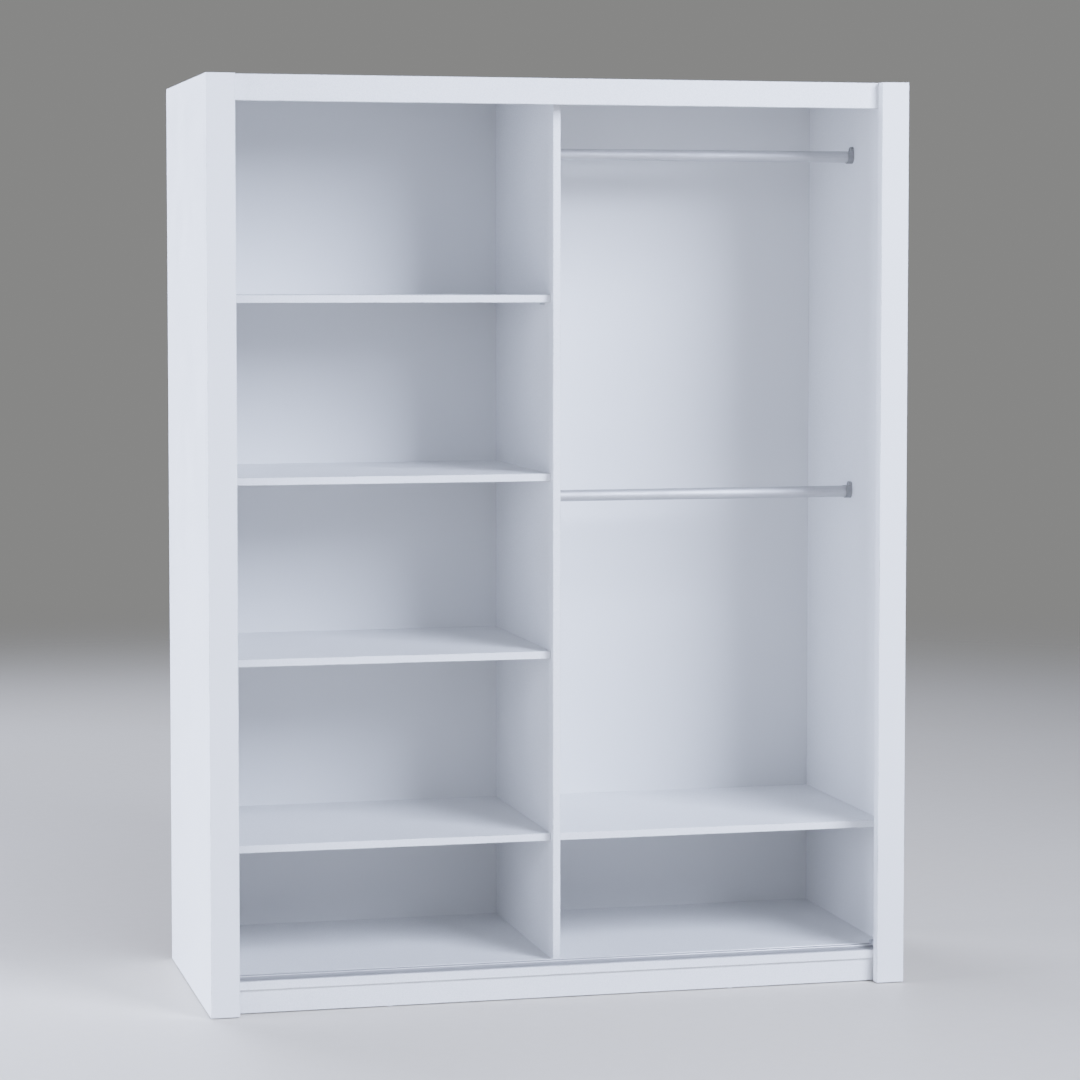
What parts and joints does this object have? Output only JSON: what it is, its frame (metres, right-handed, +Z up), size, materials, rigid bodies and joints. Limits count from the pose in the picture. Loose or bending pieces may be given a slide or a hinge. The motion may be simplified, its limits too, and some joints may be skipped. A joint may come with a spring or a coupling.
{
  "type": "sliding door wardrobe carcass",
  "caption": "White two-bay wardrobe carcass with its sliding doors off: shelves on the left, hanging rails and a low shelf on the right, door tracks behind a top fascia and on the floor panel.",
  "frame": {"origin": "centre of the footprint on the floor, under the glides", "axes": "+X across the width to the right seen from the front, +Y from the open front to the back, +Z up"},
  "size_m": [1.5, 0.62, 1.93],
  "materials": {
    "white_melamine": "satin",
    "back_board": "satin",
    "track_aluminium": "satin",
    "rail_metal": "satin",
    "socket_metal": "satin",
    "zinc_steel": "satin",
    "cam_zinc": "satin",
    "dowel_beech": "matte",
    "white_plastic": "satin",
    "grey_plastic": "matte"
  },
  "bodies": {
    "carcass": {"back_nails": "zinc_steel", "back_panel_left": "back_board", "back_panel_right": "back_board", "board_dowels": "dowel_beech", "bottom_panel": "white_melamine", "cam_bolts": "zinc_steel", "cam_locks": "cam_zinc", "corner_block_screws": "zinc_steel", "corner_blocks": "white_plastic", "divider": "white_melamine", "divider_screws": "zinc_steel", "fascia_dowels": "dowel_beech", "floor_glides": "white_plastic", "lower_door_track": "track_aluminium", "lower_track_screws": "zinc_steel", "plinth_back": "white_melamine", "plinth_crosspiece": "white_melamine", "plinth_dowels": "dowel_beech", "plinth_front": "white_melamine", "shelf_left_1": "white_melamine", "shelf_left_2": "white_melamine", "shelf_left_3": "white_melamine", "shelf_left_4": "white_melamine", "shelf_pins": "zinc_steel", "shelf_right": "white_melamine", "side_panel_left": "white_melamine", "side_panel_right": "white_melamine", "socket_lower_left": "socket_metal", "socket_lower_right": "socket_metal", "socket_screws": "zinc_steel", "socket_upper_left": "socket_metal", "socket_upper_right": "socket_metal", "stile_dowels": "dowel_beech", "stile_left": "white_melamine", "stile_right": "white_melamine", "top_fascia": "white_melamine", "top_panel": "white_melamine", "track_stops": "grey_plastic", "upper_door_track": "track_aluminium", "upper_track_screws": "zinc_steel"},
    "upper_rail": {"hanging_rail_upper": "rail_metal"},
    "lower_rail": {"hanging_rail_lower": "rail_metal"}
  },
  "joints": [
    {"name": "upper_rail_lift", "type": "slide", "parent": "carcass", "child": "upper_rail", "axis": [0, 0, 1], "range_m": [0, 0.03]},
    {"name": "lower_rail_lift", "type": "slide", "parent": "carcass", "child": "lower_rail", "axis": [0, 0, 1], "range_m": [0, 0.03]}
  ]
}
